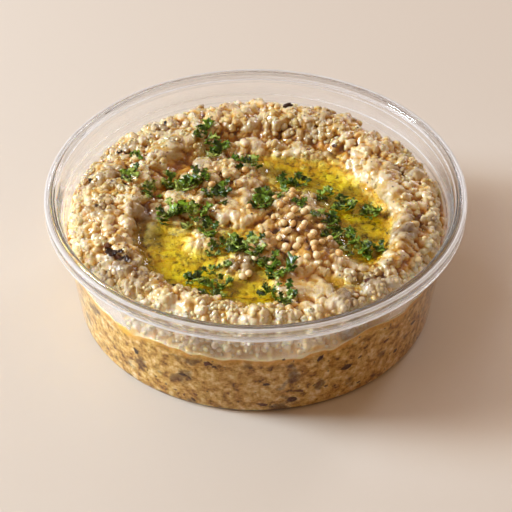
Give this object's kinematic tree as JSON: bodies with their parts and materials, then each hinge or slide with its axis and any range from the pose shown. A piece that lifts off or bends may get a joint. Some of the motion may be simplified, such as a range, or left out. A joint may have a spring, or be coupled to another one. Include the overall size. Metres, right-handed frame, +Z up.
{
  "type": "tub of baba ganoush",
  "caption": "Clear round deli tub of baba ganoush: a grainy aubergine dip heaped round a spooned basin, with olive oil, toasted sesame seeds and chopped parsley.",
  "frame": {"origin": "centre of the tub's foot, on the surface it stands on", "axes": "+Z up along the tub's axis, +X to the picture's right, -Y towards the picture's viewer"},
  "size_m": [0.118, 0.118, 0.0378],
  "materials": {
    "clear_plastic": "clear and glossy",
    "aubergine_dip": "moist and grainy",
    "olive_oil": "liquid gloss"
  },
  "bodies": {
    "root": {"tub": "clear_plastic", "dip": "aubergine_dip", "oil_pool_right": "olive_oil", "oil_pool_left": "olive_oil"}
  },
  "joints": []
}
